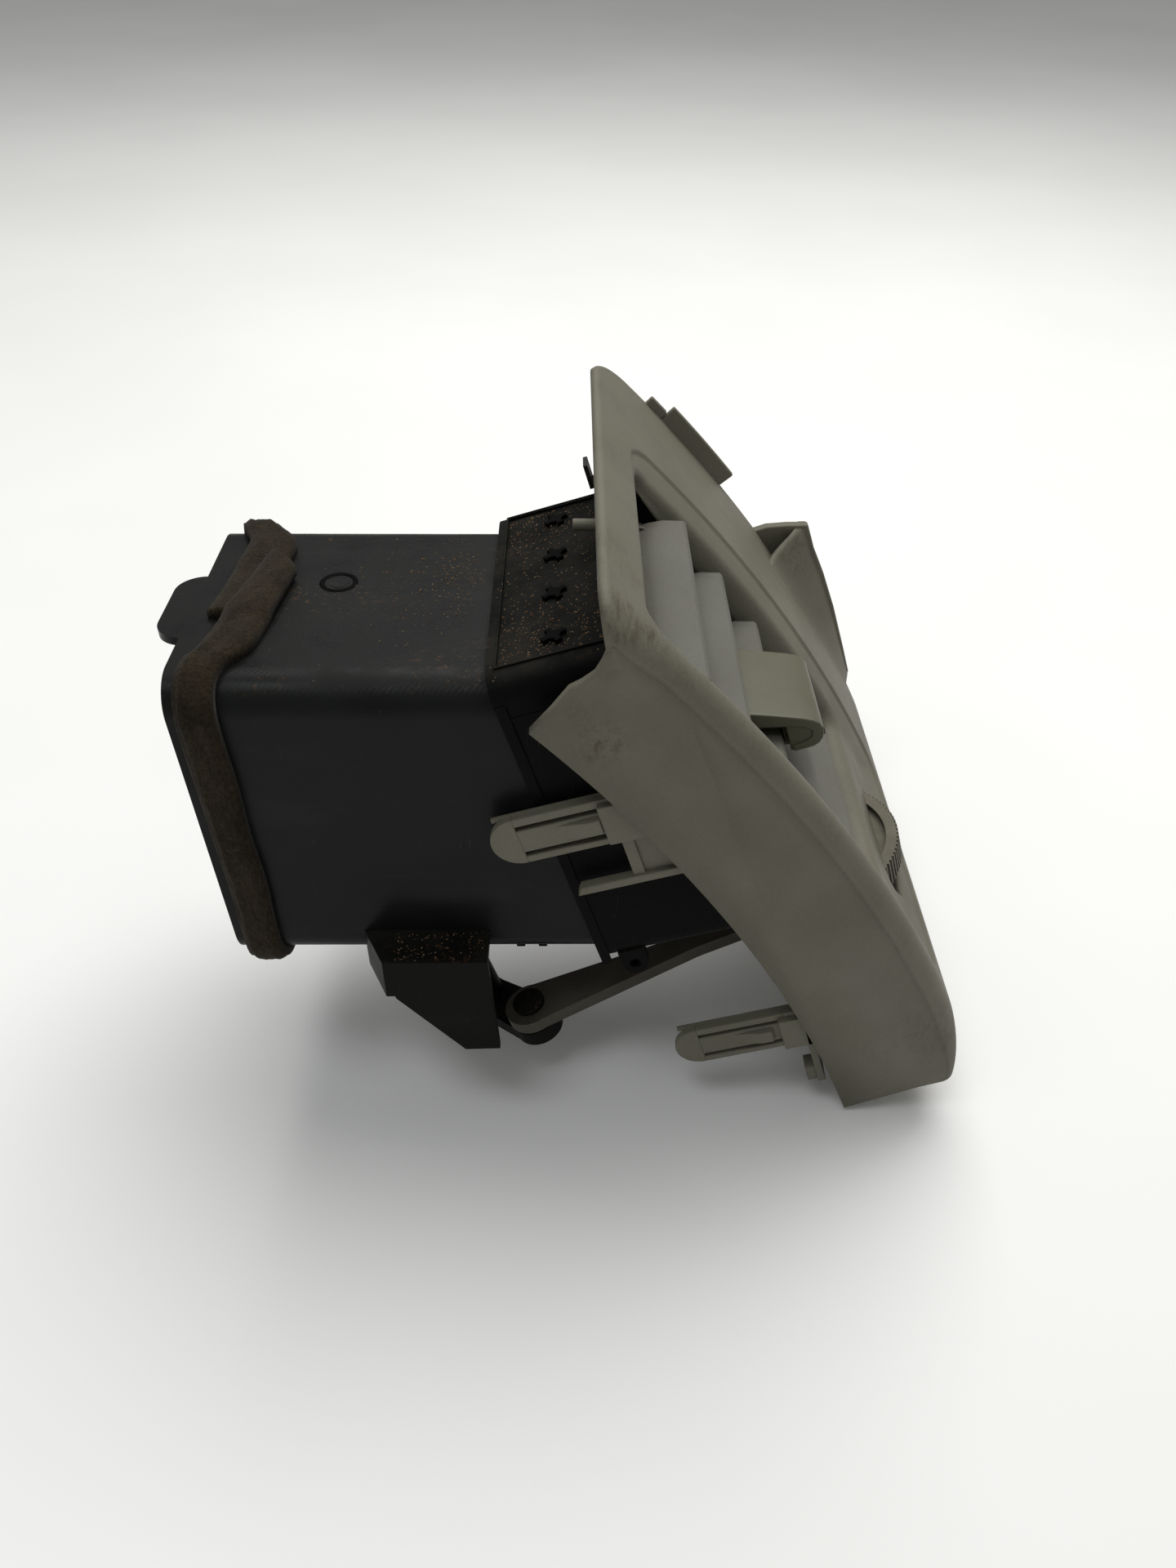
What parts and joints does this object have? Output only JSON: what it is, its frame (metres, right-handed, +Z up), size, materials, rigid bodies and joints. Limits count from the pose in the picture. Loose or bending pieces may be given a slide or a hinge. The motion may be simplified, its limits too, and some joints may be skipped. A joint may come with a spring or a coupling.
{
  "type": "dashboard end air vent",
  "caption": "Dashboard end air vent with a curved face panel, tilting and swinging vanes, sliding knob, thumbwheel shut-off damper and a foam-sealed rear duct.",
  "frame": {"origin": "centre of the duct's inlet, 4 mm inside its rim", "axes": "+X along the duct towards the outlet, +Y across to the far side of the panel, +Z up"},
  "size_m": [0.2082, 0.1476, 0.1693],
  "materials": {
    "panel_plastic": "fine-grained warm light grey",
    "black_plastic": "dusty black with a green cast",
    "foam": "open brown foam",
    "grey_link_plastic": "plain moulded",
    "knob_plastic": "greenish grey, worn smooth",
    "wheel_plastic": "dusty, ribbed rim",
    "arm_plastic": "light grey brown, dusty",
    "clip_metal": "blackened spring steel",
    "pad_rubber": "soft black"
  },
  "bodies": {
    "housing": {"face_panel": "panel_plastic", "vane_housing": "black_plastic", "rear_duct": "black_plastic", "inlet_foam_seal": "foam", "crank_guard": "black_plastic", "wheel_axle_pin": "grey_link_plastic", "top_retainer_clip": "clip_metal"},
    "level_1": {"level_vane_1": "panel_plastic"},
    "level_2": {"level_vane_2": "panel_plastic"},
    "level_3": {"level_vane_3": "panel_plastic"},
    "level_4": {"level_vane_4": "panel_plastic"},
    "level_5": {"level_vane_5": "panel_plastic"},
    "level_link": {"level_vane_link": "grey_link_plastic"},
    "knob": {"knob_cap": "knob_plastic", "knob_carrier": "knob_plastic", "knob_friction_pad": "pad_rubber"},
    "upright_1": {"upright_vane_1": "black_plastic"},
    "upright_2": {"upright_vane_2": "black_plastic"},
    "upright_3": {"upright_vane_3": "black_plastic"},
    "upright_4": {"upright_vane_4": "black_plastic"},
    "upright_link": {"upright_vane_link": "grey_link_plastic"},
    "wheel": {"thumbwheel": "wheel_plastic"},
    "arm": {"control_arm": "arm_plastic"},
    "near_damper": {"near_damper_blade": "black_plastic", "near_damper_foam": "foam", "near_crank": "black_plastic"},
    "far_damper": {"far_damper_blade": "black_plastic", "far_damper_foam": "foam", "far_crank": "black_plastic"},
    "tie": {"damper_tie_bar": "grey_link_plastic"}
  },
  "joints": [
    {"name": "vane_tilt", "type": "hinge", "parent": "housing", "child": "level_3", "pos_m": [0.12691, 0, 0.0111], "axis": [0, -1, 0], "range_deg": [-17, 21]},
    {"name": "level_1_tilt", "type": "hinge", "parent": "housing", "child": "level_1", "pos_m": [0.10441, 0, 0.04292], "axis": [0, -1, 0], "range_deg": [-17, 21]},
    {"name": "level_2_tilt", "type": "hinge", "parent": "housing", "child": "level_2", "pos_m": [0.11566, 0, 0.02701], "axis": [0, -1, 0], "range_deg": [-17, 21]},
    {"name": "level_4_tilt", "type": "hinge", "parent": "housing", "child": "level_4", "pos_m": [0.13815, 0, -0.0048], "axis": [0, -1, 0], "range_deg": [-17, 21]},
    {"name": "level_5_tilt", "type": "hinge", "parent": "housing", "child": "level_5", "pos_m": [0.1494, 0, -0.02071], "axis": [0, -1, 0], "range_deg": [-17, 21]},
    {"name": "level_link_pivot", "type": "hinge", "parent": "level_3", "child": "level_link", "pos_m": [0.12069, 0.0364, 0.0092], "axis": [0, -1, 0], "range_deg": [-21, 17]},
    {"name": "knob_slide", "type": "slide", "parent": "level_3", "child": "knob", "axis": [0, 1, 0], "range_m": [-0.01, 0.01]},
    {"name": "upright_1_swing", "type": "hinge", "parent": "housing", "child": "upright_1", "pos_m": [0.096, -0.0285, 0.005], "axis": [-0.2924, 0, 0.9563], "range_deg": [-35.5, 35.5]},
    {"name": "upright_2_swing", "type": "hinge", "parent": "housing", "child": "upright_2", "pos_m": [0.096, -0.0095, 0.005], "axis": [-0.2924, 0, 0.9563], "range_deg": [-35.5, 35.5]},
    {"name": "upright_3_swing", "type": "hinge", "parent": "housing", "child": "upright_3", "pos_m": [0.096, 0.0095, 0.005], "axis": [-0.2924, 0, 0.9563], "range_deg": [-35.5, 35.5]},
    {"name": "upright_4_swing", "type": "hinge", "parent": "housing", "child": "upright_4", "pos_m": [0.096, 0.0285, 0.005], "axis": [-0.2924, 0, 0.9563], "range_deg": [-35.5, 35.5]},
    {"name": "upright_link_pivot", "type": "hinge", "parent": "upright_2", "child": "upright_link", "pos_m": [0.10173, -0.0095, -0.03769], "axis": [-0.2924, 0, 0.9563], "range_deg": [-35.5, 35.5]},
    {"name": "wheel_turn", "type": "hinge", "parent": "housing", "child": "wheel", "pos_m": [0.15745, 0, -0.04209], "axis": [0.2924, 0, -0.9563], "range_deg": [0, 98]},
    {"name": "arm_pivot", "type": "hinge", "parent": "wheel", "child": "arm", "pos_m": [0.17301, -0.00751, -0.04465], "axis": [0.2924, 0, -0.9563], "range_deg": [-98, 0]},
    {"name": "near_damper_turn", "type": "hinge", "parent": "housing", "child": "near_damper", "pos_m": [0.03627, -0.0189, -0.0028], "axis": [0.2924, 0, -0.9563], "range_deg": [0, 76]},
    {"name": "far_damper_turn", "type": "hinge", "parent": "housing", "child": "far_damper", "pos_m": [0.03627, 0.0189, -0.0028], "axis": [0.2924, 0, -0.9563], "range_deg": [0, 76]},
    {"name": "tie_pivot", "type": "hinge", "parent": "near_damper", "child": "tie", "pos_m": [0.04569, -0.01127, -0.06528], "axis": [0.2924, 0, -0.9563], "range_deg": [-76, 0]}
  ],
  "couplings": [
    {"joint": "level_1_tilt", "follows": "vane_tilt", "ratio": 1},
    {"joint": "level_2_tilt", "follows": "vane_tilt", "ratio": 1},
    {"joint": "level_4_tilt", "follows": "vane_tilt", "ratio": 1},
    {"joint": "level_5_tilt", "follows": "vane_tilt", "ratio": 1},
    {"joint": "level_link_pivot", "follows": "vane_tilt", "ratio": -1},
    {"joint": "upright_1_swing", "follows": "knob_slide", "rad_per_m": 61},
    {"joint": "upright_2_swing", "follows": "knob_slide", "rad_per_m": 61},
    {"joint": "upright_3_swing", "follows": "knob_slide", "rad_per_m": 61},
    {"joint": "upright_4_swing", "follows": "knob_slide", "rad_per_m": 61},
    {"joint": "upright_link_pivot", "follows": "knob_slide", "rad_per_m": -61},
    {"joint": "arm_pivot", "follows": "wheel_turn", "ratio": -1},
    {"joint": "near_damper_turn", "follows": "wheel_turn", "ratio": 0.7653},
    {"joint": "far_damper_turn", "follows": "wheel_turn", "ratio": 0.7653},
    {"joint": "tie_pivot", "follows": "wheel_turn", "ratio": -0.7653}
  ]
}
